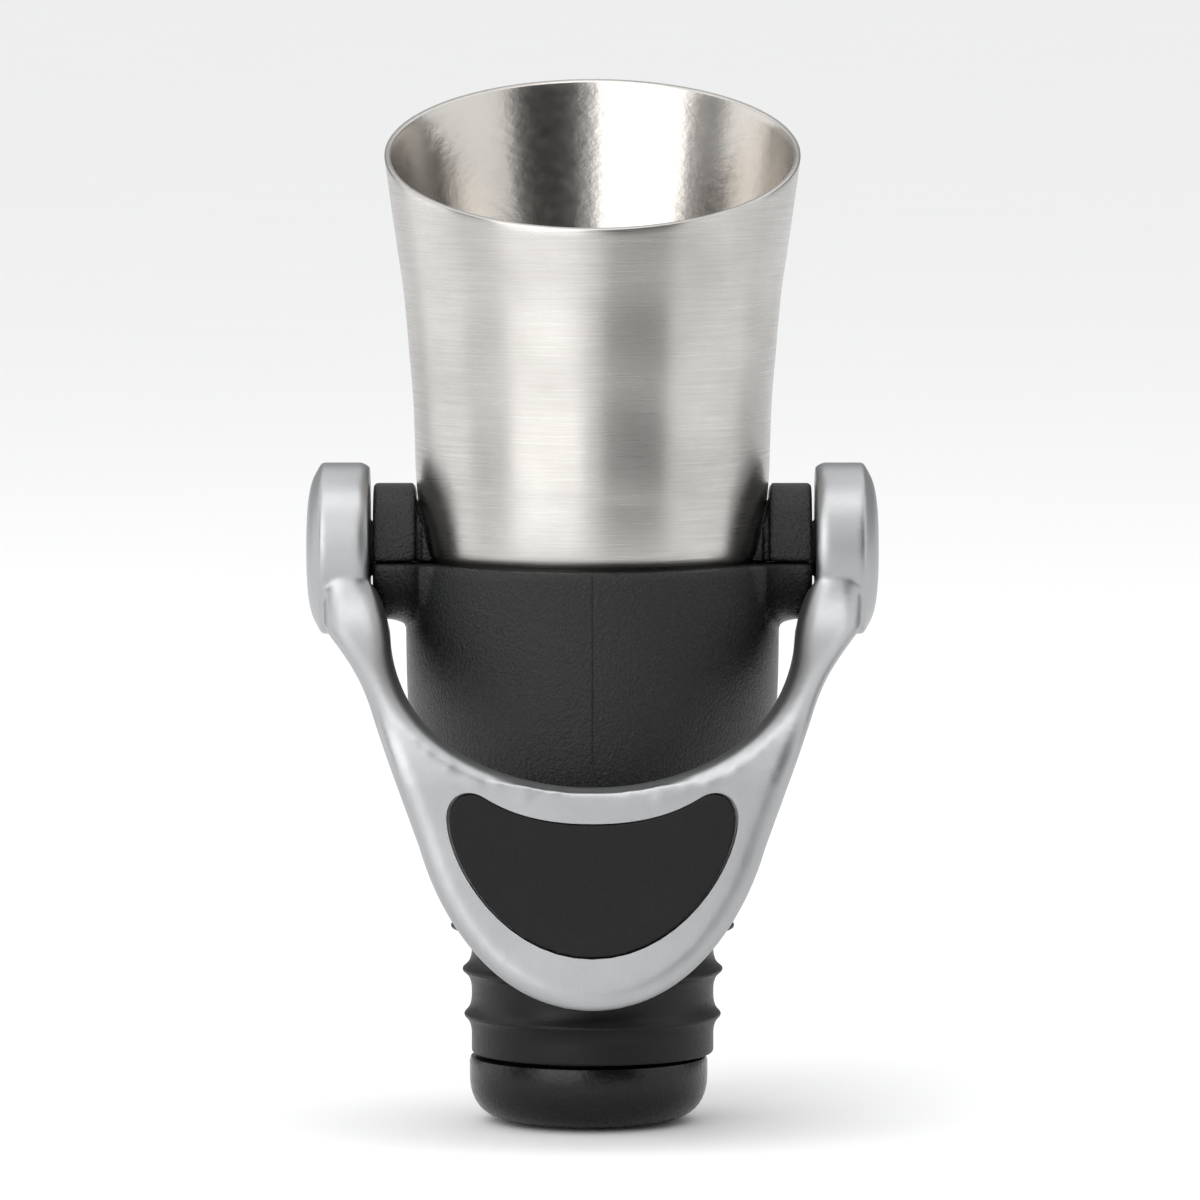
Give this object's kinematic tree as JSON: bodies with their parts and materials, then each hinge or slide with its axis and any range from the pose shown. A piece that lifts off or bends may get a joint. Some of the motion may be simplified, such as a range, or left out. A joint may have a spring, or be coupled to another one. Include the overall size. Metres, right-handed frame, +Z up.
{
  "type": "lever pour spout",
  "caption": "Bottle-neck pour spout with a flared steel cup, moulded housing, cast yoke lever with a thumb pad, ribbed rubber stopper and a plug valve worked by the lever.",
  "frame": {"origin": "centre of the valve plug's flat bottom face, on the stopper's axis", "axes": "+Z up along the stopper's axis towards the cup's mouth, +X to the right along the lever's pivot, -Y towards the lever and thumb pad"},
  "size_m": [0.0428, 0.037, 0.0777],
  "materials": {
    "brushed_steel_sheet": "fine horizontal brushing outside, satin inside",
    "cast_zinc": "bead-blasted satin die casting",
    "moulded_nylon": "fine pebbled mould texture",
    "soft_pad": "smooth soft-touch elastomer",
    "stopper_rubber": "matt moulded rubber",
    "plug_plastic": "low sheen moulded plug",
    "seal_rubber": "matt",
    "turned_steel": "turned bright",
    "pale_acetal": "moulded matt",
    "brass": "turned"
  },
  "bodies": {
    "housing": {"housing": "moulded_nylon", "pour_cup": "brushed_steel_sheet", "cup_collar": "moulded_nylon", "cup_gasket": "seal_rubber", "pivot_bush_left": "pale_acetal", "pivot_bush_right": "pale_acetal", "pivot_oring_left": "seal_rubber", "pivot_oring_right": "seal_rubber", "stopper_sleeve": "stopper_rubber", "stopper_core": "moulded_nylon", "core_oring": "seal_rubber", "stem_guide": "pale_acetal", "vent_tube": "turned_steel", "ear_screw_left": "brass", "ear_screw_right": "brass"},
    "lever": {"lever_yoke": "cast_zinc", "thumb_pad": "soft_pad", "crank_left": "turned_steel", "crank_right": "turned_steel"},
    "plunger": {"crosshead": "pale_acetal", "crosshead_screw": "turned_steel", "valve_stem": "turned_steel", "valve_plug": "plug_plastic", "plug_seal": "seal_rubber"}
  },
  "joints": [
    {"name": "lever_hinge", "type": "hinge", "parent": "housing", "child": "lever", "pos_m": [0, 0, 0.043], "axis": [-1, 0, 0], "range_deg": [0, 75]},
    {"name": "plunger_slide", "type": "slide", "parent": "housing", "child": "plunger", "axis": [0, 0, -1], "range_m": [0, 0.0031]}
  ],
  "couplings": [
    {"joint": "plunger_slide", "follows": "lever_hinge", "m_per_rad": 0.0023254}
  ]
}
